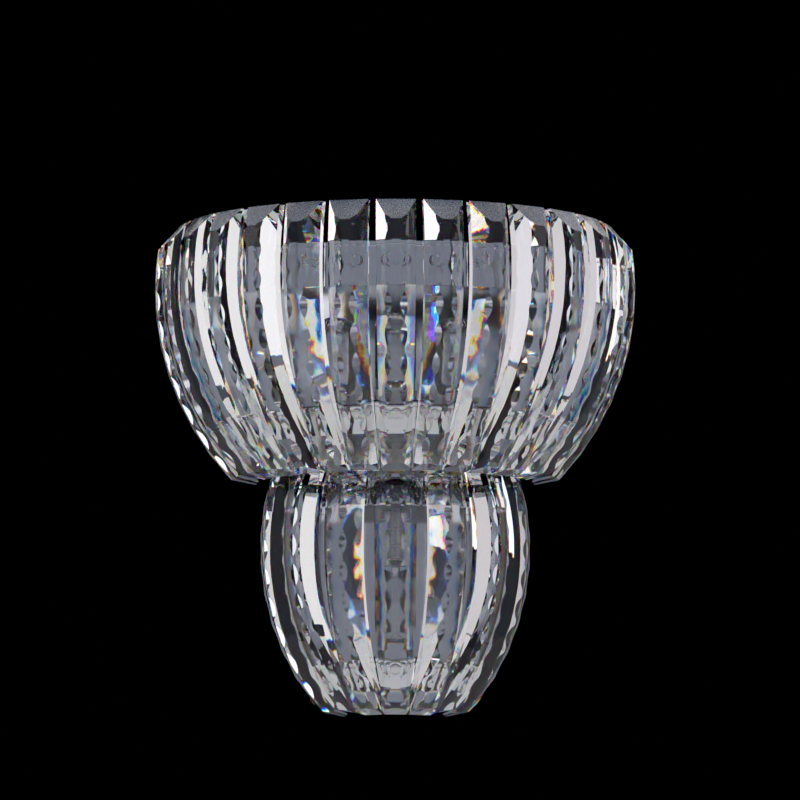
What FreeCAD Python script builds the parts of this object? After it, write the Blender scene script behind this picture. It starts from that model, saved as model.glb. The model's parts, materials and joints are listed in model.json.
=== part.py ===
import FreeCAD, Part
import Sketcher
import math
import os
import re

# Crystal wall sconce, in millimetres. +Z is up, the wall is the plane Y = 0 and the front faces -Y.
# The origin is the middle of the wall bracket's two slotted holes, on the wall.

SIZES = {
    # where the two tiers of crystal bars stand
    "axis_offset": 10.0,            # upright axis of both tiers, in front of the wall
    "upper_level": 45.0,            # height at which the upper bars stand upright
    "lower_level": -116.5,          # the same for the lower bars
    # upper crystal bars
    "upper_count": 15,
    "upper_pitch": 12.0,            # degrees between neighbouring bars
    "upper_face_radius": 149.4,     # tier axis to the outer strip, where it is upright
    "upper_bend_radius": 171.0,     # bend of the outer strip, from top to bottom
    "upper_face_top": 23.0,         # top edge of the outer strip, above the level
    "upper_bottom_angle": 48.5,     # degrees of bend from the level to the bottom end
    "upper_width": 24.9,            # width at the level and the outer strip's depth
    "upper_taper": 0.008,           # widening of each side per millimetre of height
    "upper_draft": 2.8,             # degrees by which each side closes in towards the axis
    "upper_cut_first": -8.8,        # degrees of bend from the level to the first scallop
    "upper_cut_step": 6.1,          # degrees of bend from one scallop to the next
    "upper_cut_count": 9,
    # lower crystal bars
    "lower_count": 7,
    "lower_pitch": 26.0,
    "lower_face_radius": 84.0,
    "lower_bend_radius": 153.0,
    "lower_face_top": 41.0,
    "lower_bottom_angle": 46.2,
    "lower_width": 28.8,
    "lower_taper": 0.0,
    "lower_draft": 8.4,
    "lower_cut_first": -19.5,
    "lower_cut_step": 6.8,
    "lower_cut_count": 10,
    # section of a crystal bar
    "bar_thickness": 15.0,
    "bar_strip_width": 10.4,        # flat strip along the middle of the outside
    "bar_bevel_angle": 56.0,        # degrees between the strip and each bevel
    "top_chamfer_depth": 12.5,
    "top_chamfer_rise": 13.5,
    "bottom_chamfer_depth": 9.0,
    "bottom_chamfer_length": 14.0,
    "stock_angle": 1.0,             # stock beyond the top cut, in degrees of bend
    "stock_side": 0.5,              # stock beyond each side cut
    "scallop_length": 15.8,         # along the edge between strip and bevel
    "scallop_depth": 1.3,           # at the middle of the edge
    # clear pads that bond the backs of the bars to the rings
    "bond_gap": 1.0,
    "pad_radius": 3.2,
    "pad_clearance": 0.1,           # glue line on each face of a pad
    # polished rings that carry the bars
    "ring_thickness": 2.5,
    "ring_chamfer": 0.6,
    "lip_height": 3.0,              # top edge to the middle of the groove below it
    "groove_width": 0.8,
    "groove_depth": 0.5,
    "upper_ring_angle": 0.0,        # degrees of bend from the level to the ring's pads
    "upper_ring_above": 12.0,       # band above its pads
    "upper_ring_below": 15.0,
    "middle_ring_angle": 34.0,
    "middle_ring_above": 5.0,
    "middle_ring_below": 13.0,
    "lower_ring_angle": -14.4,
    "lower_ring_above": 5.0,
    "lower_ring_below": 13.0,
    "bottom_ring_angle": 33.0,
    "bottom_ring_above": 5.0,
    "bottom_ring_below": 13.0,
    "ear_drop": 8.7,                # pads to the middle of the ears that reach over the pan
    "ear_height": 8.0,
    "ear_thickness": 2.5,
    "ear_overlap": 12.0,            # ear on the pan, from the pan's edge inwards
    "ear_screw_inset": 6.5,         # screw from the pan's edge inwards
    "ear_bite": 1.2,                # ear's end within the ring's wall
    "ring_screw_radius": 2.0,
    "ring_screw_hole": 2.2,
    "screw_head_radius": 3.6,
    "screw_head_height": 2.4,
    "screw_end": 3.0,               # thread that stands out behind the pan
    "screw_socket_radius": 1.6,
    "screw_socket_depth": 1.4,
    # polished pan against the wall
    "pan_depth": 18.0,
    "pan_wall": 1.2,
    "pan_clearance": 11.0,          # backs of the bars to the pan's rim
    "pan_top": 14.0,                # above the upper level
    "pan_bottom": 92.0,             # below the lower level
    "pan_waist": 100.0,             # below the upper level, where the narrow part starts
    # wall bracket, its studs and cap nuts
    "bracket_length": 190.0,
    "bracket_height": 30.0,
    "bracket_thickness": 2.5,
    "slot_spacing": 70.0,
    "slot_length": 16.0,            # from end to end
    "slot_radius": 2.6,
    "stud_spacing": 160.0,
    "bracket_stud_radius": 2.0,
    "bracket_stud_foot": 4.0,
    "bracket_stud_foot_height": 1.5,
    "pan_stud_hole": 2.6,
    "stud_beyond_pan": 7.0,
    "cap_nut_radius": 6.0,
    "cap_nut_length": 12.0,
    "cap_nut_bore": 2.05,
    "cap_nut_depth": 8.0,
    "cap_nut_round": 4.0,
    "knurl_radius": 1.0,
    "knurl_depth": 0.4,
    "knurl_count": 20,
    "cap_nut_gap": 0.3,             # face of the nut to the face of the pan
    # cable grommet in the bracket
    "grommet_bore": 4.5,
    "grommet_radius": 7.0,
    "grommet_flange_radius": 9.0,
    "grommet_flange": 2.0,
    "grommet_length": 8.0,
    # lamp plate between the tiers
    "plate_level": -73.0,
    "plate_thickness": 2.0,
    "plate_radius": 60.0,
    "tab_height": 13.0,             # from the plate's top down
    "tab_screw_drop": 7.5,
    "tab_width": 11.0,
    "tab_reach": 36.0,              # screws left and right of the middle
    # lamp holders and lamps
    "middle_lamp_reach": 45.0,      # in front of the tier axis
    "side_lamp_reach": 24.0,
    "side_lamp_x": 36.0,
    "lower_lamp_reach": 22.0,
    "holder_radius": 13.0,
    "holder_length": 50.0,
    "holder_bore": 7.5,
    "holder_bore_depth": 25.0,
    "holder_foot_radius": 9.0,
    "holder_foot_length": 6.0,
    "nipple_radius": 5.0,
    "nipple_bore": 3.5,
    "nipple_in_holder": 5.0,
    "nipple_gap": 0.05,
    "nipple_end": 1.5,              # thread that stands out of the nut
    "nipple_nut_width": 14.0,
    "nipple_nut_height": 3.0,
    "cap_radius": 7.0,
    "cap_length": 25.5,
    "cap_contact_radius": 3.0,
    "cap_contact_length": 2.5,
    "cap_gap": 0.5,                 # between the cap and the bottom of the holder's bore
    "thread_pitch": 2.8,
    "thread_depth": 0.5,
    "bulb_radius": 12.5,
    "bulb_length": 44.0,            # without its neck
    "bulb_round": 9.0,
    "bulb_neck_radius": 8.5,
    "bulb_neck_length": 3.0,
    "bulb_shoulder": 4.0,
    # wiring inside
    "lead_radius": 2.2,
    "lead_hole_radius": 2.6,
    "lead_height": 9.0,             # above or below the lamp plate
    "terminal_width": 28.0,
    "terminal_height": 14.0,
    "terminal_depth": 9.0,
    "terminal_x": 50.0,
    "terminal_z": -30.0,
    "terminal_hole": 2.0,
    "terminal_pitch": 9.0,
    "earth_screw_x": 60.0,
}

FAR = 400.0                         # longer than any cut that goes right through
FRONT_TURN = -90.0                  # turns a bar's outward direction from +X to the front, -Y

doc = FreeCAD.newDocument("crystal_wall_sconce")
sheet = doc.addObject("Spreadsheet::Sheet", "sizes")
for row, (alias, number) in enumerate(SIZES.items(), start=1):
    sheet.set("A%d" % row, alias)
    sheet.set("B%d" % row, str(number))
    sheet.setAlias("B%d" % row, alias)
doc.recompute()

finished = []                       # sub-parts that are written to files


def value(expression):
    """Number that an expression in the sheet's words gives."""
    result = sheet.evalExpression(expression)
    return getattr(result, "Value", result)


def bound(expression):
    """The same expression as other objects of the document write it."""
    return re.sub("[a-z_]+", lambda word: ("sizes." if word[0] in SIZES else "") + word[0], expression)


def bind(item, prop, expression):
    item.setExpression(prop, bound(expression))


def vector(x=0.0, y=0.0, z=0.0):
    return FreeCAD.Vector(x, y, z)


def plane_of(body, role):
    for item in body.Origin.OriginFeatures:
        if item.Role == role:
            return item
    raise ValueError("no plane " + role)


def new_body(name):
    body = doc.addObject("PartDesign::Body", name)
    body.Label = name
    return body


def placement_words(base, turns):
    """Expression of a placement: a base point, then turns about the frame's own axes."""
    rotations = ["create(<<rotation>>; create(<<vector>>; %d; %d; %d); %s)" % (*axis, angle)
                 for axis, angle in turns or [((0, 0, 1), "0")]]
    point = "create(<<vector>>; %s; %s; %s)" % tuple(base)
    return "create(<<placement>>; %s; %s)" % (point, " * ".join(rotations))


def place(item, base=("0", "0", "0"), turns=None, prop="Placement"):
    bind(item, prop, placement_words(base, turns))
    return item


def placement(base=("0", "0", "0"), turns=None):
    return value(placement_words(base, turns))


def new_sketch(body, name, role, base=("0", "0", "0"), turns=None):
    """Sketch on an origin plane; base and turns move it within that plane's own frame."""
    sketch = body.newObject("Sketcher::SketchObject", body.Name + "_" + name)
    sketch.AttachmentSupport = [(plane_of(body, role), "")]
    sketch.MapMode = "FlatFace"
    return place(sketch, base, turns, "AttachmentOffset")


def locate(sketch, kind, geometry, end, expression):
    rule = sketch.addConstraint(Sketcher.Constraint(kind, -1, 1, geometry, end, value(expression)))
    bind(sketch, "Constraints[%d]" % rule, expression)


def place_point(sketch, geometry, end, x, y):
    locate(sketch, "DistanceX", geometry, end, x)
    locate(sketch, "DistanceY", geometry, end, y)


def add_outline(sketch, corners, bends=None):
    """Closed outline, anticlockwise; corners are pairs of expressions.

    An edge is straight unless bends gives its number a centre's x and y and a radius.
    """
    bends = bends or {}
    points = [vector(value(x), value(y)) for x, y in corners]
    edges = []
    for index, start in enumerate(points):
        stop = points[(index + 1) % len(points)]
        if index in bends:
            x, y, radius = bends[index]
            centre = vector(value(x), value(y))
            begin = math.atan2(start.y - centre.y, start.x - centre.x)
            end = math.atan2(stop.y - centre.y, stop.x - centre.x)
            circle = Part.Circle(centre, vector(0, 0, 1), value(radius))
            edge = sketch.addGeometry(Part.ArcOfCircle(circle, begin, end % (2 * math.pi)), False)
        else:
            edge = sketch.addGeometry(Part.LineSegment(start, stop), False)
        edges.append(edge)
    for index, edge in enumerate(edges):
        following = edges[(index + 1) % len(edges)]
        sketch.addConstraint(Sketcher.Constraint("Coincident", edge, 2, following, 1))
        place_point(sketch, edge, 1, *corners[index])
        if index in bends:
            chord = points[(index + 1) % len(points)] - points[index]
            upright = abs(chord.y) >= abs(chord.x)
            locate(sketch, "DistanceX" if upright else "DistanceY", edge, 3,
                   bends[index][0 if upright else 1])
    return sketch


def add_rectangle(sketch, left, bottom, right, top):
    return add_outline(sketch, [(left, bottom), (right, bottom), (right, top), (left, top)])


def add_circle(sketch, x, y, radius):
    circle = Part.Circle(vector(value(x), value(y)), vector(0, 0, 1), value(radius))
    index = sketch.addGeometry(circle, False)
    place_point(sketch, index, 3, x, y)
    constraint = sketch.addConstraint(Sketcher.Constraint("Radius", index, value(radius)))
    bind(sketch, "Constraints[%d]" % constraint, radius)
    return sketch


def feature(body, kind, name, sketch, **settings):
    item = body.newObject("PartDesign::" + kind, body.Name + "_" + name)
    item.Profile = sketch
    for prop, setting in settings.items():
        setattr(item, prop, setting)
    return item


def pad(body, name, sketch, length, reverse=False):
    item = feature(body, "Pad", name, sketch, Reversed=reverse)
    bind(item, "Length", length)


def pocket_through(body, name, sketch, direction=None):
    """Cut right through on both sides of the sketch, square to it or along a slanted direction."""
    item = feature(body, "Pocket", name, sketch, Midplane=True, Length=FAR)
    if direction:
        item.UseCustomVector = True
        item.Direction = direction
    return item


def revolve(body, name, sketch, angle, midplane=False):
    item = feature(body, "Revolution", name, sketch, ReferenceAxis=(sketch, ["V_Axis"]),
                   Midplane=midplane)
    bind(item, "Angle", angle)


def polar(body, name, source, sketch, axis, step, count):
    item = body.newObject("PartDesign::PolarPattern", body.Name + "_" + name)
    item.Originals = [source]
    item.Axis = (sketch, [axis])
    item.Occurrences = int(value(count))
    item.Mode = "Spacing"
    bind(item, "Offset", step)
    body.Tip = item
    return item


def finish(item):
    finished.append(item)
    return item


# ---------------------------------------------------------------- crystal bars

class Tier:
    """Expressions of one tier, in its own frame: axis upright, +X outwards, its level at Z = 0."""

    def __init__(self, name):
        self.name = name
        self.bend = name + "_bend_radius"
        self.centre = "({0}_face_radius - {0}_bend_radius)".format(name)
        self.back = "({0}_bend_radius - bar_thickness)".format(name)
        self.count = int(value(name + "_count"))
        self.middle = (self.count - 1) // 2

    def turn(self, index):
        """Angle that turns a piece from +X to the place of bar number index, 0 at the left."""
        return "%s + %s_pitch * (%d)" % (FRONT_TURN, self.name, index - self.middle)

    def base(self):
        return ("0", "-axis_offset", self.name + "_level")

    def across(self, depth, angle, along="0"):
        """Distance from the axis of a point at a bend radius and angle, moved along the bend."""
        return "(%s + %s * cos(%s) + %s * sin(%s))" % (self.centre, depth, angle, along, angle)

    def height(self, depth, angle, along="0"):
        return "(%s * cos(%s) - %s * sin(%s))" % (along, angle, depth, angle)


def crystal_master(tier):
    """One bar: a bent prism, flat behind, with a strip and two bevels outside and scalloped edges."""
    body = new_body(tier.name + "_crystal_master")
    size = dict(tier=tier.name, bend=tier.bend, back=tier.back, centre=tier.centre)
    top_height = "({tier}_face_top + top_chamfer_rise)".format(**size)
    start = "(asin({0} / {back}) / 1deg + stock_angle)".format(top_height, **size)
    half = "({tier}_width / 2 + {tier}_taper * {0} + stock_side)".format(top_height, **size)
    foot = "({bend} - ({0} - bar_strip_width / 2) * tan(bar_bevel_angle))".format(half, **size)

    section = new_sketch(body, "section", "XY_Plane", (tier.centre, "0", "0"), [((0, -1, 0), start)])
    add_outline(section, [(tier.back, "-" + half), (foot, "-" + half),
                          (tier.bend, "-bar_strip_width / 2"), (tier.bend, "bar_strip_width / 2"),
                          (foot, half), (tier.back, half)])
    revolve(body, "bend", section, "%s + %s_bottom_angle" % (start, tier.name))

    for side in (1, -1):
        draft = "tan({tier}_draft)".format(**size)
        edge = "%d * ({tier}_width / 2 %s * {draft})".format(draft=draft, **size)
        outside = "%d * 2 * {tier}_width".format(**size) % side
        sketch = new_sketch(body, "side_%d" % (side + 2), "XY_Plane",
                            (tier.name + "_face_radius", "0", "0"))
        add_outline(sketch, [("bar_thickness", edge % (side, "+ bar_thickness")),
                             ("-{tier}_face_radius".format(**size),
                              edge % (side, "- {tier}_face_radius".format(**size))),
                             ("-{tier}_face_radius".format(**size), outside),
                             ("bar_thickness", outside)])
        slant = vector(0, side * value(tier.name + "_taper"), 1)
        pocket_through(body, "side_cut_%d" % (side + 2), sketch, slant)

    edge_x = "sqrt({bend} * {bend} - {tier}_face_top * {tier}_face_top)".format(**size)
    top = new_sketch(body, "top", "XZ_Plane", (tier.centre, "0", "0"))
    above = "(%s + bar_thickness * 3)" % top_height
    add_outline(top, [(edge_x + " + top_chamfer_depth", tier.name + "_face_top - top_chamfer_rise"),
                      (edge_x + " - top_chamfer_depth", top_height),
                      (edge_x + " - bar_thickness * 3", top_height),
                      (edge_x + " - bar_thickness * 3", above),
                      (edge_x + " + top_chamfer_depth", above)])
    pocket_through(body, "top_cut", top)

    bottom = new_sketch(body, "bottom", "XZ_Plane", (tier.centre, "0", "0"),
                        [((0, 0, -1), tier.name + "_bottom_angle")])
    add_outline(bottom, [(tier.bend + " - 2 * bottom_chamfer_depth", "-bottom_chamfer_length"),
                         (tier.bend + " + bottom_chamfer_depth", "2 * bottom_chamfer_length"),
                         (tier.bend + " + bar_thickness", "2 * bottom_chamfer_length"),
                         (tier.bend + " + bar_thickness", "-bottom_chamfer_length")])
    pocket_through(body, "bottom_cut", bottom)

    first = tier.name + "_cut_first"
    wheel = "((scallop_length * scallop_length / 4 + scallop_depth * scallop_depth) / (2 * scallop_depth))"
    for side in (1, -1):
        base = (tier.across(tier.bend, first), tier.height(tier.bend, first),
                "%d * bar_strip_width / 2" % -side)
        turns = [((0, 0, -1), first), ((0, side, 0), "bar_bevel_angle / 2")]
        sketch = new_sketch(body, "scallop_%d" % (side + 2), "XZ_Plane", base, turns)
        add_circle(sketch, wheel + " - scallop_depth", "0", wheel)
        cut = feature(body, "Pocket", "scallop_cut_%d" % (side + 2), sketch, Midplane=True)
        bind(cut, "Length", "3 * bar_thickness")
        polar(body, "scallops_%d" % (side + 2), cut, section, "V_Axis",
              tier.name + "_cut_step", tier.name + "_cut_count")
    return body


def crystal_bars(tier):
    master = crystal_master(tier)
    for index in range(tier.count):
        body = new_body("crystal_%s_%02d" % (tier.name, index + 1))
        copy = body.newObject("PartDesign::FeatureBase", body.Name + "_copy")
        copy.BaseFeature = master
        body.Tip = copy
        place(body, tier.base(), [((0, 0, 1), tier.turn(index))])
        finish(body)


# ---------------------------------------------------------------- rings and what holds the bars to them

def pan_edge(tier, height, inset="0"):
    """Half of the pan's width at a height above the tier's level."""
    bend = "(%s - pan_clearance - %s)" % (tier.back, inset)
    return "(%s + sqrt(%s * %s - %s * %s))" % (tier.centre, bend, bend, height, height)


def ear_places(tier, ring):
    """Height of the ears above the tier's level, and their screws' distance from the middle."""
    inner = "({0} - bond_gap - ring_thickness)".format(tier.back)
    height = tier.height(inner, ring + "_angle", "(-ear_drop)")
    return height, "(%s - ear_screw_inset)" % pan_edge(tier, height)


def ring(name, tier):
    """Half ring behind the bars, square to their backs, with two ears screwed to the pan."""
    body = new_body(name)
    angle = name + "_angle"
    outer = "(%s - bond_gap)" % tier.back
    inner = "(%s - ring_thickness)" % outer
    lip = "(%s_above - lip_height %%s)" % name
    band = new_sketch(body, "band", "XZ_Plane")
    corners = [(outer, lip % "- groove_width / 2"), ("(%s - groove_depth)" % outer, lip % ""),
               (outer, lip % "+ groove_width / 2"), (outer, "(%s_above - ring_chamfer)" % name),
               ("(%s - ring_chamfer)" % outer, name + "_above"), (inner, name + "_above"),
               (inner, "(-%s_below)" % name), (outer, "(-%s_below)" % name)]
    add_outline(band, [(tier.across(depth, angle, along), tier.height(depth, angle, along))
                       for depth, along in corners])
    revolve(body, "wall", band, "180", midplane=True)

    height, screw = ear_places(tier, name)
    ring_radius = tier.across(inner, angle, "(-ear_drop)")
    ring_edge = "(sqrt({0} * {0} - pan_front * pan_front) + ear_bite - ear_height / 2 * abs(tan({1})))"
    ring_edge = ring_edge.format(ring_radius, angle).replace("pan_front", "(pan_depth - axis_offset)")
    ears = new_sketch(body, "ears", "YZ_Plane", ("0", "0", "pan_depth - axis_offset"))
    for side in (1, -1):
        near = "%d * (%s - ear_overlap)" % (side, pan_edge(tier, height))
        far = "%d * %s" % (side, ring_edge)
        left, right = (near, far) if side > 0 else (far, near)
        add_rectangle(ears, left, height + " - ear_height / 2", right, height + " + ear_height / 2")
        add_circle(ears, "%d * %s" % (side, screw), height, "ring_screw_hole")
    pad(body, "ear_pad", ears, "ear_thickness")
    place(body, tier.base(), [((0, 0, 1), str(FRONT_TURN))])
    return finish(body)


def lathe_body(name, corners, bends=None):
    """Body turned about Z from a closed outline of radius and height."""
    body = new_body(name)
    sketch = new_sketch(body, "outline", "XZ_Plane")
    add_outline(sketch, corners, bends)
    revolve(body, "turned", sketch, "360")
    return body


def hex_nut(name, width, height, bore):
    body = new_body(name)
    sketch = new_sketch(body, "outline", "XY_Plane")
    corner = "%s / 2 / cos(30)" % width
    add_outline(sketch, [("%s * cos(%d)" % (corner, angle), "%s * sin(%d)" % (corner, angle))
                         for angle in range(0, 360, 60)])
    add_circle(sketch, "0", "0", bore)
    pad(body, "thickness", sketch, height)
    return body


def group(name, master, placements):
    """Separate solids of one kind, in one sub-part."""
    copies = []
    for spot in placements:
        shape = master.Shape.copy()
        shape.Placement = spot
        copies.append(shape)
    item = doc.addObject("Part::Feature", name)
    item.Label = name
    item.Shape = Part.makeCompound(copies)
    return finish(item)


def pad_places(rings):
    """Places square to the bars' backs, with +Z towards the axis, for every bar on every ring."""
    places = []
    for ring_name, tier in rings:
        angle = ring_name + "_angle"
        depth = "(%s - pad_clearance)" % tier.back
        spot = placement((tier.across(depth, angle), "0", tier.height(depth, angle)),
                         [((0, 1, 0), angle + " - 90")])
        for index in range(tier.count):
            places.append(placement(tier.base(), [((0, 0, 1), tier.turn(index))]) * spot)
    return places


def bond_pads(rings):
    thickness = "(bond_gap - 2 * pad_clearance)"
    master = lathe_body("bond_pad_master", [("0", "0"), ("pad_radius", "0"),
                                            ("pad_radius", thickness), ("0", thickness)])
    doc.recompute()
    group("bond_pads", master, pad_places(rings))


# ---------------------------------------------------------------- pan and wall bracket

def pan_outline(sketch, upper, lower, inset):
    """Outline that follows both tiers: straight top, waist and bottom, joined by arcs."""
    top = "(upper_level + pan_top - %s)" % inset
    waist = "(upper_level - pan_waist + %s)" % inset
    foot = "(lower_level - pan_bottom + %s)" % inset
    right = [
        (pan_edge(lower, "(%s - lower_level)" % foot, inset), foot),
        (pan_edge(lower, "(%s - lower_level)" % waist, inset), waist),
        (pan_edge(upper, "(%s - upper_level)" % waist, inset), waist),
        (pan_edge(upper, "(%s - upper_level)" % top, inset), top),
    ]
    left = [("-" + x, z) for x, z in reversed(right)]
    bends = {}
    for edge, tier, side in ((0, lower, ""), (2, upper, ""), (4, upper, "-"), (6, lower, "-")):
        radius = "(%s - pan_clearance - %s)" % (tier.back, inset)
        bends[edge] = (side + tier.centre, tier.name + "_level", radius)
    return add_outline(sketch, right + left, bends)


def back_pan(upper, lower, rings, lamps):
    """Shallow polished pan, open towards the wall."""
    body = new_body("back_pan")
    pad(body, "block", pan_outline(new_sketch(body, "outline", "XZ_Plane"), upper, lower, "0"),
        "pan_depth")
    hollow = pan_outline(new_sketch(body, "inside", "XZ_Plane"), upper, lower, "pan_wall")
    cut = feature(body, "Pocket", "hollow", hollow, Reversed=True)
    bind(cut, "Length", "pan_depth - pan_wall")
    holes = new_sketch(body, "holes", "XZ_Plane")
    for name, tier in rings:
        height, screw = ear_places(tier, name)
        for side in (1, -1):
            add_circle(holes, "%d * %s" % (side, screw), "%s_level + %s" % (tier.name, height),
                       "ring_screw_radius")
    for side in (1, -1):
        add_circle(holes, "%d * stud_spacing / 2" % side, "0", "pan_stud_hole")
        add_circle(holes, "%d * tab_reach" % side, "plate_level - tab_screw_drop", "ring_screw_radius")
    for _, x, _, up in lamps:
        add_circle(holes, x, lead_level(up), "lead_hole_radius")
    pocket_through(body, "hole_cut", holes)
    return finish(body)


def wall_bracket():
    """Flat steel bar on the wall, with two slots for the wall screws."""
    body = new_body("wall_bracket")
    outline = new_sketch(body, "outline", "XZ_Plane")
    add_rectangle(outline, "-bracket_length / 2", "-bracket_height / 2",
                  "bracket_length / 2", "bracket_height / 2")
    pad(body, "bar", outline, "bracket_thickness")
    holes = new_sketch(body, "holes", "XZ_Plane")
    for side in (1, -1):
        middle = "(%d * slot_spacing / 2)" % side
        reach = "(slot_length / 2 - slot_radius)"
        left, right = "(%s - %s)" % (middle, reach), "(%s + %s)" % (middle, reach)
        add_outline(holes, [(left, "-slot_radius"), (right, "-slot_radius"),
                            (right, "slot_radius"), (left, "slot_radius")],
                    {1: (right, "0", "slot_radius"), 3: (left, "0", "slot_radius")})
    add_circle(holes, "0", "0", "grommet_radius")
    add_circle(holes, "earth_screw_x", "0", "ring_screw_radius")
    pocket_through(body, "hole_cut", holes)
    return finish(body)


def facing_out(x, depth, z="0"):
    """Place at a depth in front of the wall, with +Z pointing away from it."""
    return (x, "-(%s)" % depth, z), [((1, 0, 0), "90")]


def facing_in(x, depth, z="0"):
    return (x, "-(%s)" % depth, z), [((1, 0, 0), "-90")]


def screw_master(name, shank_length):
    """Pan-head screw along Z: the head below Z = 0, the shank above."""
    return lathe_body(name, [
        ("0", "-(screw_head_height - screw_socket_depth)"),
        ("screw_socket_radius", "-screw_head_height"),
        ("screw_head_radius - screw_head_height / 3", "-screw_head_height"),
        ("screw_head_radius", "-screw_head_height * 2 / 3"), ("screw_head_radius", "0"),
        ("ring_screw_radius", "0"), ("ring_screw_radius", shank_length), ("0", shank_length)])


def bracket_parts():
    wall_bracket()
    length = "(pan_depth + stud_beyond_pan - bracket_thickness)"
    stud = lathe_body("bracket_stud_master", [
        ("0", "0"), ("bracket_stud_foot", "0"), ("bracket_stud_foot", "bracket_stud_foot_height"),
        ("bracket_stud_radius", "bracket_stud_foot_height"), ("bracket_stud_radius", length),
        ("0", length)])
    earth = screw_master("earth_screw", "bracket_thickness")
    place(finish(earth), *facing_in("earth_screw_x", "bracket_thickness"))
    grommet = lathe_body("cable_grommet", [
        ("grommet_bore", "0"), ("grommet_radius", "0"), ("grommet_radius", "bracket_thickness"),
        ("grommet_flange_radius", "bracket_thickness"),
        ("grommet_flange_radius", "bracket_thickness + grommet_flange"),
        ("grommet_radius", "bracket_thickness + grommet_flange"),
        ("(grommet_radius + grommet_bore) / 2", "grommet_length"), ("grommet_bore", "grommet_length")])
    place(finish(grommet), *facing_out("0", "0"))
    doc.recompute()
    group("bracket_studs", stud, [placement(*facing_out("%d * stud_spacing / 2" % side, "bracket_thickness"))
                                  for side in (-1, 1)])
    for word, side in (("left", -1), ("right", 1)):
        cap_nut("cap_nut_" + word, side)


def cap_nut(name, side):
    """Knurled nut with a closed, rounded end."""
    body = lathe_body(name, [
        ("cap_nut_bore", "0"), ("cap_nut_radius", "0"),
        ("cap_nut_radius", "cap_nut_length - cap_nut_round"),
        ("cap_nut_radius - cap_nut_round", "cap_nut_length"), ("0", "cap_nut_length"),
        ("0", "cap_nut_depth"), ("cap_nut_bore", "cap_nut_depth")],
        {2: ("(cap_nut_radius - cap_nut_round)", "(cap_nut_length - cap_nut_round)", "cap_nut_round")})
    knurl = new_sketch(body, "knurl", "XY_Plane")
    add_circle(knurl, "cap_nut_radius + knurl_radius - knurl_depth", "0", "knurl_radius")
    cut = pocket_through(body, "knurl_cut", knurl)
    polar(body, "knurls", cut, knurl, "N_Axis", "360 / knurl_count", "knurl_count")
    place(body, *facing_out("%d * stud_spacing / 2" % side, "pan_depth + cap_nut_gap"))
    return finish(body)


# ---------------------------------------------------------------- lamps

def lead_level(up):
    return "plate_level + lead_height" if up else "plate_level - plate_thickness - lead_height"


def lamp_plate(lamps):
    """Half disc between the tiers that carries the lamp holders, with two tabs on the pan."""
    body = new_body("lamp_plate")
    back = "-pan_depth"
    chord = "sqrt(plate_radius * plate_radius - (pan_depth - axis_offset) * (pan_depth - axis_offset))"
    disc = new_sketch(body, "disc", "XY_Plane")
    add_outline(disc, [("-" + chord, back), (chord, back)], {0: ("0", "-axis_offset", "plate_radius")})
    for _, x, reach, _ in lamps:
        add_circle(disc, x, "-axis_offset - " + reach, "nipple_radius + nipple_gap")
    pad(body, "sheet", disc, "plate_thickness", reverse=True)
    tabs = new_sketch(body, "tabs", "XY_Plane")
    for side in (1, -1):
        middle = "%d * tab_reach" % side
        add_rectangle(tabs, middle + " - tab_width / 2", "-pan_depth - plate_thickness",
                      middle + " + tab_width / 2", back)
    pad(body, "tab_pad", tabs, "tab_height", reverse=True)
    holes = new_sketch(body, "holes", "XZ_Plane")
    for side in (1, -1):
        add_circle(holes, "%d * tab_reach" % side, "-tab_screw_drop", "ring_screw_hole")
    pocket_through(body, "hole_cut", holes)
    place(body, ("0", "0", "plate_level"))
    return finish(body)


def holder_outline():
    floor = "holder_length - holder_bore_depth"
    socket = "(nipple_radius + nipple_gap)"
    return [(socket, "0"), ("holder_foot_radius", "0"), ("holder_foot_radius", "holder_foot_length"),
            ("holder_radius", "holder_foot_length"), ("holder_radius", "holder_length"),
            ("holder_bore", "holder_length"), ("holder_bore", floor), ("0", floor),
            ("0", "nipple_in_holder"), (socket, "nipple_in_holder")]


def cap_outline():
    """Screw cap: contact button, cone and rounded rings of thread."""
    start = "(2 * cap_contact_length)"
    root = "(cap_radius - thread_depth)"
    turns = int((value("cap_length") - value(start)) / value("thread_pitch")) - 1
    outline = [("0", "0"), ("cap_contact_radius", "0"), ("cap_contact_radius", "cap_contact_length"),
               (root, start)]
    for turn in range(turns):
        foot = "(%s + %d * thread_pitch)" % (start, turn)
        outline += [(root, foot + " + thread_pitch / 6"), ("cap_radius", foot + " + thread_pitch / 3"),
                    ("cap_radius", foot + " + thread_pitch * 2 / 3"),
                    (root, foot + " + thread_pitch * 5 / 6")]
    return outline + [(root, "cap_length"), ("0", "cap_length")]


def bulb_outline():
    top = "(bulb_neck_length + bulb_length)"
    return [("0", "0"), ("bulb_neck_radius", "0"), ("bulb_neck_radius", "bulb_neck_length"),
            ("bulb_radius", "bulb_neck_length + bulb_shoulder"), ("bulb_radius", top + " - bulb_round"),
            ("bulb_radius - bulb_round", top), ("0", top)]


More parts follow.
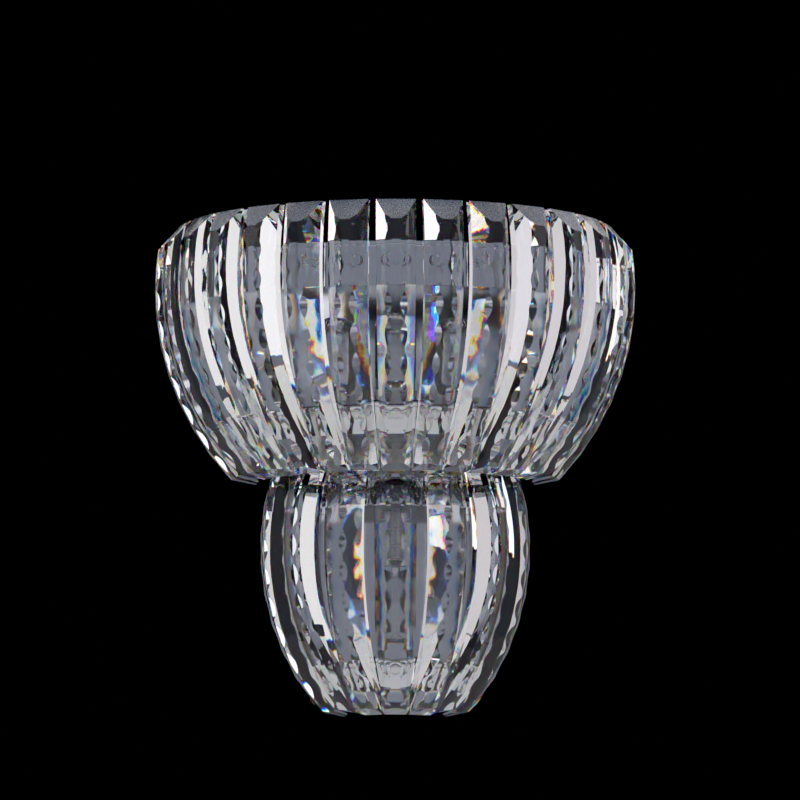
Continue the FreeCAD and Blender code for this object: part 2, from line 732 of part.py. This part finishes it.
def lamp_parts(lamps):
    lamp_plate(lamps)
    nut_end = "nipple_nut_height + nipple_end"
    nipple_length = "(nipple_in_holder - nipple_gap + plate_thickness + %s)" % nut_end
    nipple = lathe_body("nipple_master", [("nipple_bore", "0"), ("nipple_radius", "0"),
                                          ("nipple_radius", nipple_length),
                                          ("nipple_bore", nipple_length)])
    nut = hex_nut("nipple_nut_master", "nipple_nut_width", "nipple_nut_height", "nipple_radius")
    doc.recompute()
    nipples, nuts, leads = [], [], []
    for name, x, reach, up in lamps:
        place_at = (x, "-axis_offset - " + reach)
        seat = "plate_level" if up else "plate_level - plate_thickness"
        sign = "+" if up else "-"
        flip = [((1, 0, 0), "0" if up else "180")]
        holder = lathe_body("lamp_holder_" + name, holder_outline())
        place(finish(holder), (*place_at, seat), flip)
        contact = "%s %s (holder_length - holder_bore_depth + cap_gap)" % (seat, sign)
        cap = lathe_body("lamp_%s_cap" % name, cap_outline())
        place(finish(cap), (*place_at, contact), flip)
        bend = ("(bulb_radius - bulb_round)", "(bulb_neck_length + bulb_length - bulb_round)",
                "bulb_round")
        bulb = lathe_body("lamp_%s_bulb" % name, bulb_outline(), {4: bend})
        place(finish(bulb), (*place_at, "%s %s cap_length" % (contact, sign)), flip)

        far_side = "plate_level - plate_thickness" if up else "plate_level"
        back = "-" if up else "+"
        nuts.append(placement((*place_at, "%s %s nipple_nut_height" % (far_side, back)), flip))
        nipples.append(placement((*place_at, "%s %s (%s)" % (far_side, back, nut_end)), flip))

        lead = doc.addObject("Part::Cylinder", "lead_" + name)
        bind(lead, "Radius", "lead_radius")
        start = "(pan_depth - 2 * pan_wall)"
        bind(lead, "Height", "axis_offset + %s - holder_radius - %s" % (reach, start))
        place(lead, *facing_out(x, start, lead_level(up)))
        leads.append(lead)
    group("nipples", nipple, nipples)
    group("nipple_nuts", nut, nuts)
    bundle = doc.addObject("Part::Compound", "lamp_leads")
    bundle.Label = "lamp_leads"
    bundle.Links = leads
    finish(bundle)


def terminal_block():
    body = new_body("terminal_block")
    outline = new_sketch(body, "outline", "XZ_Plane")
    add_rectangle(outline, "-terminal_width / 2", "-terminal_height / 2",
                  "terminal_width / 2", "terminal_height / 2")
    for place_number in (-1, 0, 1):
        add_circle(outline, "%d * terminal_pitch" % place_number, "0", "terminal_hole")
    pad(body, "block", outline, "terminal_depth")
    place(body, ("terminal_x", "-(pan_depth - pan_wall - terminal_depth)", "terminal_z"))
    return finish(body)


def screws(rings):
    master = screw_master("ring_screw_master", "ear_thickness + pan_wall + screw_end")
    doc.recompute()
    on_ears = []
    for name, tier in rings:
        height, screw = ear_places(tier, name)
        for side in (1, -1):
            spot = facing_in("%d * %s" % (side, screw), "pan_depth + ear_thickness",
                             "%s_level + %s" % (tier.name, height))
            on_ears.append(placement(*spot))
    group("ring_screws", master, on_ears)
    on_tabs = [facing_in("%d * tab_reach" % side, "pan_depth + plate_thickness",
                         "plate_level - tab_screw_drop") for side in (1, -1)]
    group("plate_screws", master, [placement(*spot) for spot in on_tabs])


# ---------------------------------------------------------------- the whole sconce

def build():
    upper, lower = Tier("upper"), Tier("lower")
    rings = (("upper_ring", upper), ("middle_ring", upper), ("lower_ring", lower), ("bottom_ring", lower))
    lamps = (("left", "-side_lamp_x", "side_lamp_reach", True),
             ("middle", "0", "middle_lamp_reach", True),
             ("right", "side_lamp_x", "side_lamp_reach", True),
             ("lower", "0", "lower_lamp_reach", False))
    crystal_bars(upper)
    crystal_bars(lower)
    for name, tier in rings:
        ring(name, tier)
    bond_pads(rings)
    back_pan(upper, lower, rings, lamps)
    screws(rings)
    bracket_parts()
    lamp_parts(lamps)
    terminal_block()
    doc.recompute()


def check():
    for item in doc.Objects:
        if "Invalid" in item.State or "Error" in item.State:
            raise ValueError("%s failed: %s" % (item.Name, item.State))
    for item in finished:
        if item.Shape.isNull() or not item.Shape.isValid():
            raise ValueError(item.Label + " has no valid shape")


def write():
    os.makedirs("parts", exist_ok=True)
    for item in finished:
        item.Shape.exportStep(os.path.join("parts", item.Label + ".step"))
        box = item.Shape.BoundBox
        print("%-22s %2d solids %9.1f mm3  x %7.1f %7.1f  y %7.1f %7.1f  z %7.1f %7.1f" % (
            item.Label, len(item.Shape.Solids), item.Shape.Volume,
            box.XMin, box.XMax, box.YMin, box.YMax, box.ZMin, box.ZMax))


build()
check()
write()
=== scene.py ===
import bpy
import json
import math
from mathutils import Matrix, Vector

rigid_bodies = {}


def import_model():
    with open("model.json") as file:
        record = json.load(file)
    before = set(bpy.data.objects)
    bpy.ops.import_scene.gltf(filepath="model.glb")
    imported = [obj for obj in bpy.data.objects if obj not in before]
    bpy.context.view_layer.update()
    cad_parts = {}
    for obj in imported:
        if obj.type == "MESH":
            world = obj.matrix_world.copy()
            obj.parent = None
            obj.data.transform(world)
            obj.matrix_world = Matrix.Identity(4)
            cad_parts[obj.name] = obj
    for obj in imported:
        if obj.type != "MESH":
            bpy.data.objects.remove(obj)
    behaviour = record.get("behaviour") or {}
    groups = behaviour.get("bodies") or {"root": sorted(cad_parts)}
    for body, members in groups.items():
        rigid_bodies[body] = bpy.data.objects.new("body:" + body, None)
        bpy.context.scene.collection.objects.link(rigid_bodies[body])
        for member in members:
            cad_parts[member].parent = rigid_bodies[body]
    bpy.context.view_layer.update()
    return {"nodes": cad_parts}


for thing in list(bpy.data.objects):
    bpy.data.objects.remove(thing)
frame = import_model()
nodes = frame["nodes"]
scene = bpy.context.scene
scene.view_settings.view_transform = "Standard"

# ---------------------------------------------------------------- camera

TIER_AXIS = -0.010                  # upright axis of both tiers, in front of the wall
CAMERA_AT = (-0.012, -3.240, -0.411)
CAMERA_AIM = (0.003, TIER_AXIS, -0.0233)
FIELD_WIDTH = 0.4968                # what the picture's width spans at the aim


def add_camera():
    data = bpy.data.cameras.new("photo_camera")
    camera = bpy.data.objects.new("photo_camera", data)
    scene.collection.objects.link(camera)
    line = Vector(CAMERA_AIM) - Vector(CAMERA_AT)
    camera.location = CAMERA_AT
    camera.rotation_euler = line.to_track_quat("-Z", "Y").to_euler()
    data.lens = data.sensor_width * line.length / FIELD_WIDTH
    scene.camera = camera


# ---------------------------------------------------------------- node helpers

MIDDLE_GREYS = (0.3, 0.7)           # where most values of a noise texture lie


def shader_tree(owner):
    owner.use_nodes = True
    owner.node_tree.nodes.clear()
    return owner.node_tree


def add(tree, kind, inputs=None, **settings):
    """Add a shader node; each input is a number, a colour or another node's socket."""
    node = tree.nodes.new("ShaderNode" + kind)
    for name, setting in settings.items():
        setattr(node, name, setting)
    for name, source in (inputs or {}).items():
        if isinstance(source, bpy.types.NodeSocket):
            tree.links.new(source, node.inputs[name])
        else:
            node.inputs[name].default_value = source
    return node


def math_of(tree, operation, first, second):
    return add(tree, "Math", {0: first, 1: second}, operation=operation).outputs[0]


def output(tree, shader, kind="OutputMaterial"):
    add(tree, kind, {"Surface": shader})


def place_in(tree, stretch=(1, 1, 1)):
    """Coordinates fixed to the object, in metres, stretched along its axes."""
    coordinates = add(tree, "TexCoord").outputs["Object"]
    return add(tree, "Mapping", {"Vector": coordinates, "Scale": stretch}).outputs[0]


def noise(tree, vector, scale, detail=2.0, roughness=0.5):
    return add(tree, "TexNoise", {"Vector": vector, "Scale": scale, "Detail": detail,
                                  "Roughness": roughness}).outputs["Fac"]


def spread(tree, source, low, high):
    """Stretch a noise value to a range of a shader's own number."""
    return add(tree, "MapRange", {"Value": source, "From Min": MIDDLE_GREYS[0], "From Max": MIDDLE_GREYS[1],
                                  "To Min": low, "To Max": high}).outputs[0]


def tint(tree, source, dark, light, span=MIDDLE_GREYS):
    """Run from a dark to a light colour over a span of a value."""
    ramp = add(tree, "ValToRGB", {"Fac": source})
    for stop, position, colour in zip(ramp.color_ramp.elements, span, (dark, light)):
        stop.position = position
        stop.color = (*colour, 1)
    return ramp.outputs[0]


def bump(tree, height, strength, distance):
    return add(tree, "Bump", {"Height": height, "Strength": strength, "Distance": distance}).outputs[0]


# ---------------------------------------------------------------- light, floor and world

OBJECT_MIDDLE = Vector((0, -0.06, -0.06))
LIGHT_DISTANCE = 2.6
FILL_COLOUR, FILL_STRENGTH = (0.95, 0.97, 1.0), 0.45
ROOM_COLOUR = (0.20, 0.215, 0.26)   # dim blue-grey room that polished metal shows
ROOM_DARK, ROOM_LIT = 0.35, -0.45   # the room fades from its black back to its front
FLOOR_LEVEL, FLOOR_HALF = -1.3, 2.5
FLOOR_GRAIN = 30.0
FLOOR_GREYS = (0.76, 0.80)
FLOOR_ROUGHNESS = 0.9


def softbox(name, azimuth, elevation, size, strength, colour=(1, 1, 1)):
    """An even panel around the object; azimuth 0 is in front, 90 on the right, 180 behind."""
    turn, rise = math.radians(azimuth), math.radians(elevation)
    away = Vector((math.sin(turn) * math.cos(rise), -math.cos(turn) * math.cos(rise), math.sin(rise)))
    data = bpy.data.lights.new(name, "AREA")
    data.shape = "RECTANGLE"
    data.size, data.size_y = size
    data.color = colour
    data.energy = strength * math.pi * data.size * data.size_y
    box = bpy.data.objects.new(name, data)
    scene.collection.objects.link(box)
    box.location = OBJECT_MIDDLE + LIGHT_DISTANCE * away
    box.rotation_euler = (-away).to_track_quat("-Z", "Y").to_euler()


def add_world():
    """Black to the camera; glass and polished faces see a dim blue-grey room in front."""
    world = bpy.data.worlds.new("studio")
    scene.world = world
    tree = shader_tree(world)
    path = add(tree, "LightPath").outputs
    direction = add(tree, "SeparateXYZ", {0: add(tree, "TexCoord").outputs["Generated"]}).outputs
    front = add(tree, "MapRange", {"Value": direction["Y"], "From Min": ROOM_DARK,
                                   "From Max": ROOM_LIT}).outputs[0]
    room_colour = tint(tree, front, (0, 0, 0), ROOM_COLOUR, (0, 1))
    fill = add(tree, "Background", {"Color": (*FILL_COLOUR, 1), "Strength": FILL_STRENGTH}).outputs[0]
    room = add(tree, "Background", {"Color": room_colour, "Strength": 1.0}).outputs[0]
    black = add(tree, "Background", {"Color": (0, 0, 0, 1)}).outputs[0]
    traced = math_of(tree, "MAXIMUM", path["Is Glossy Ray"], path["Is Transmission Ray"])
    lit = add(tree, "MixShader", {0: traced, 1: fill, 2: room}).outputs[0]
    output(tree, add(tree, "MixShader", {0: path["Is Camera Ray"], 1: lit, 2: black}).outputs[0], "OutputWorld")


def add_floor():
    """Plain pale paper, well below the wall light."""
    material, tree = new_material("floor_paper")
    grain = noise(tree, place_in(tree), FLOOR_GRAIN, detail=3.0)
    paper = tint(tree, grain, *[(grey, grey, grey) for grey in FLOOR_GREYS])
    output(tree, add(tree, "BsdfPrincipled", {"Base Color": paper, "Roughness": FLOOR_ROUGHNESS}).outputs[0])
    mesh = bpy.data.meshes.new("floor")
    corners = [(-1, -1), (1, -1), (1, 1), (-1, 1)]
    mesh.from_pydata([(x * FLOOR_HALF, y * FLOOR_HALF, FLOOR_LEVEL) for x, y in corners], [], [(0, 1, 2, 3)])
    mesh.materials.append(material)
    floor = bpy.data.objects.new("floor", mesh)
    scene.collection.objects.link(floor)


# ---------------------------------------------------------------- materials

GLASS_INDEX = 1.545
SPLIT_INDEXES = (1.532, GLASS_INDEX, 1.562)      # for red, green and blue light
GROUND_FACING = 0.35                # how far up a face looks to count as a ground top cut
GROUND_ROUGHNESS = (0.10, 0.42)
GROUND_SPECKLE = 900.0
UPPER_GROUND_LEVEL, LOWER_GROUND_LEVEL = 0.064, -0.075
RIPPLES, FINE_RIPPLES, FINE_SHARE = 38.0, 420.0, 0.03
GLASS_RELIEF, GLASS_RELIEF_HEIGHT = 0.16, 0.002
SKIN_HEIGHT = 0.0002                # of the marks in metal and the skin of plastic
MARKS_TO_GRAIN = 14
MOULDED_CLOUDS, MOULDED_SKIN, MOULDED_RELIEF = 50.0, 1500.0, 0.15
BULB_INDEX, BULB_ROUGHNESS = 1.5, 0.02
BULB_RIPPLES, BULB_RELIEF = 70.0, 0.05
# painted shade: the bulb's see-through colour runs from clear to grey towards its outline
BULB_OUTLINE_SHADE = ((0.97, 0.97, 0.97), (0.55, 0.55, 0.57))
BULB_EDGE_BLEND, BULB_OUTLINE_SHADE_SPAN = 0.25, (0.2, 1.0)


def new_material(name):
    material = bpy.data.materials.new(name)
    return material, shader_tree(material)


def crystal_glass(name, ground_level):
    """Clear polished glass that splits colours, with faint ripples and a fine-ground top cut."""
    material, tree = new_material(name)
    place = place_in(tree)
    geometry = add(tree, "NewGeometry").outputs
    height = add(tree, "SeparateXYZ", {0: geometry["Position"]}).outputs["Z"]
    facing = add(tree, "SeparateXYZ", {0: geometry["True Normal"]}).outputs["Z"]
    ground = math_of(tree, "MULTIPLY", math_of(tree, "GREATER_THAN", height, ground_level),
                     math_of(tree, "GREATER_THAN", facing, GROUND_FACING))
    speckle = spread(tree, noise(tree, place, GROUND_SPECKLE), *GROUND_ROUGHNESS)
    roughness = math_of(tree, "MULTIPLY", ground, speckle)
    fine = math_of(tree, "MULTIPLY", noise(tree, place, FINE_RIPPLES), FINE_SHARE)
    ripples = math_of(tree, "ADD", noise(tree, place, RIPPLES), fine)
    normal = bump(tree, ripples, GLASS_RELIEF, GLASS_RELIEF_HEIGHT)

    def glass(colour, index):
        return add(tree, "BsdfGlass", {"Color": (*colour, 1), "Roughness": roughness, "IOR": index,
                                       "Normal": normal}).outputs[0]

    # each of three glasses lets one colour through, at three times its share
    shares = ((3, 0, 0), (0, 3, 0), (0, 0, 3))
    red, green, blue = [glass(share, index) for share, index in zip(shares, SPLIT_INDEXES)]
    pair = add(tree, "MixShader", {0: 0.5, 1: red, 2: green}).outputs[0]
    split = add(tree, "MixShader", {0: 1 / 3, 1: pair, 2: blue}).outputs[0]
    first_hit = add(tree, "LightPath").outputs["Is Camera Ray"]
    plain = glass((1, 1, 1), GLASS_INDEX)
    output(tree, add(tree, "MixShader", {0: first_hit, 1: plain, 2: split}).outputs[0])
    return material


def metal(name, dark, light, roughness, stretch=(1, 1, 1), grain=60.0, relief=0.02):
    """Metal with a slightly uneven polish and fine marks running across the stretched axis."""
    material, tree = new_material(name)
    place = place_in(tree, stretch)
    cloud = noise(tree, place, grain, detail=4.0)
    marks = noise(tree, place, grain * MARKS_TO_GRAIN, roughness=0.7)
    output(tree, add(tree, "BsdfPrincipled", {
        "Base Color": tint(tree, cloud, dark, light), "Metallic": 1.0,
        "Roughness": spread(tree, cloud, *roughness),
        "Normal": bump(tree, marks, relief, SKIN_HEIGHT)}).outputs[0])
    return material


def moulded(name, dark, light, roughness):
    """Rubber or plastic with faint clouds of tone and a fine moulded skin."""
    material, tree = new_material(name)
    place = place_in(tree)
    cloud = noise(tree, place, MOULDED_CLOUDS, detail=4.0)
    output(tree, add(tree, "BsdfPrincipled", {
        "Base Color": tint(tree, cloud, dark, light), "Roughness": spread(tree, cloud, *roughness),
        "Normal": bump(tree, noise(tree, place, MOULDED_SKIN), MOULDED_RELIEF, SKIN_HEIGHT)}).outputs[0])
    return material


def thin_glass(name):
    """A blown bulb: clear straight on and brighter towards its outline, where painted shade also greys what
    shows through it.
    """
    material, tree = new_material(name)
    normal = bump(tree, noise(tree, place_in(tree), BULB_RIPPLES), BULB_RELIEF, GLASS_RELIEF_HEIGHT)
    edge = add(tree, "LayerWeight", {"Blend": BULB_EDGE_BLEND, "Normal": normal}).outputs["Facing"]
    # painted shade: the see-through colour darkens towards the outline by facing angle
    outline_shade = tint(tree, edge, *BULB_OUTLINE_SHADE, BULB_OUTLINE_SHADE_SPAN)
    clear = add(tree, "BsdfTransparent", {"Color": outline_shade}).outputs[0]
    gloss = add(tree, "BsdfGlossy", {"Color": (1, 1, 1, 1), "Roughness": BULB_ROUGHNESS,
                                     "Normal": normal}).outputs[0]
    mirror = add(tree, "Fresnel", {"IOR": BULB_INDEX, "Normal": normal}).outputs[0]
    output(tree, add(tree, "MixShader", {0: mirror, 1: clear, 2: gloss}).outputs[0])
    return material


def material_of_slots():
    """One material for each of the frame's slots."""
    return {
        "crystal": crystal_glass("crystal_upper", UPPER_GROUND_LEVEL),
        "bond_clear": crystal_glass("crystal_lower", LOWER_GROUND_LEVEL),
        "ring_steel": metal("ring_steel_polished", (0.78, 0.79, 0.82), (0.86, 0.87, 0.90),
                            roughness=(0.03, 0.09), stretch=(1, 1, 6), grain=25.0),
        "pan_steel": metal("pan_steel_polished", (0.72, 0.73, 0.76), (0.82, 0.83, 0.86), roughness=(0.05, 0.14),
                           stretch=(1, 1, 3), grain=18.0),
        "fastener_steel": metal("satin_steel", (0.50, 0.51, 0.53), (0.64, 0.65, 0.67), roughness=(0.22, 0.36),
                                stretch=(1, 1, 8), grain=70.0, relief=0.08),
        "bracket_steel": metal("zinc_plate", (0.42, 0.45, 0.47), (0.66, 0.68, 0.70), roughness=(0.24, 0.45),
                               grain=90.0, relief=0.10),
        "nut_chrome": metal("nut_chrome", (0.76, 0.77, 0.80), (0.86, 0.87, 0.89), roughness=(0.06, 0.16),
                            stretch=(1, 8, 1), grain=120.0, relief=0.05),
        "plate_steel": metal("plate_steel", (0.60, 0.61, 0.63), (0.72, 0.73, 0.75), roughness=(0.16, 0.28),
                             stretch=(6, 1, 1), relief=0.06),
        "holder_metal": metal("holder_satin", (0.40, 0.40, 0.41), (0.56, 0.56, 0.57), roughness=(0.24, 0.38),
                              stretch=(1, 1, 10), relief=0.10),
        "lamp_cap": metal("cap_aluminium", (0.68, 0.68, 0.68), (0.82, 0.82, 0.82), roughness=(0.18, 0.30),
                          grain=150.0, relief=0.08),
        "brass": metal("brass", (0.62, 0.44, 0.20), (0.80, 0.62, 0.32), roughness=(0.16, 0.32),
                       grain=110.0, relief=0.06),
        "lamp_glass": thin_glass("bulb_glass"),
        "rubber": moulded("rubber", (0.025, 0.025, 0.026), (0.045, 0.045, 0.046), roughness=(0.55, 0.75)),
        "lead_sleeve": moulded("lead_sleeve", (0.74, 0.73, 0.69), (0.86, 0.85, 0.81), roughness=(0.40, 0.55)),
        "terminal_plastic": moulded("terminal_plastic", (0.76, 0.75, 0.72), (0.88, 0.87, 0.84),
                                    roughness=(0.38, 0.52)),
    }


def dress_nodes():
    """The lower bars take the lower glass, whose ground cuts lie at their own level."""
    by_slot = material_of_slots()
    for name, node in nodes.items():
        for slot in node.material_slots:
            slot_name = slot.material.name.split(".")[0]
            is_lower_bar = name.startswith("crystal_lower")
            slot.material = by_slot["bond_clear" if is_lower_bar else slot_name]


add_camera()
add_world()
add_floor()
softbox("softbox_left", -92, 6, size=(2.8, 2.9), strength=0.80, colour=(1.0, 0.98, 0.98))
softbox("softbox_right", 96, 4, size=(2.8, 2.9), strength=0.62, colour=(1.0, 0.95, 0.98))
softbox("softbox_right_back", 140, 22, size=(1.2, 1.8), strength=1.2, colour=(1.0, 0.96, 0.97))
softbox("softbox_top", 10, 72, size=(2.2, 1.4), strength=1.4)
dress_nodes()
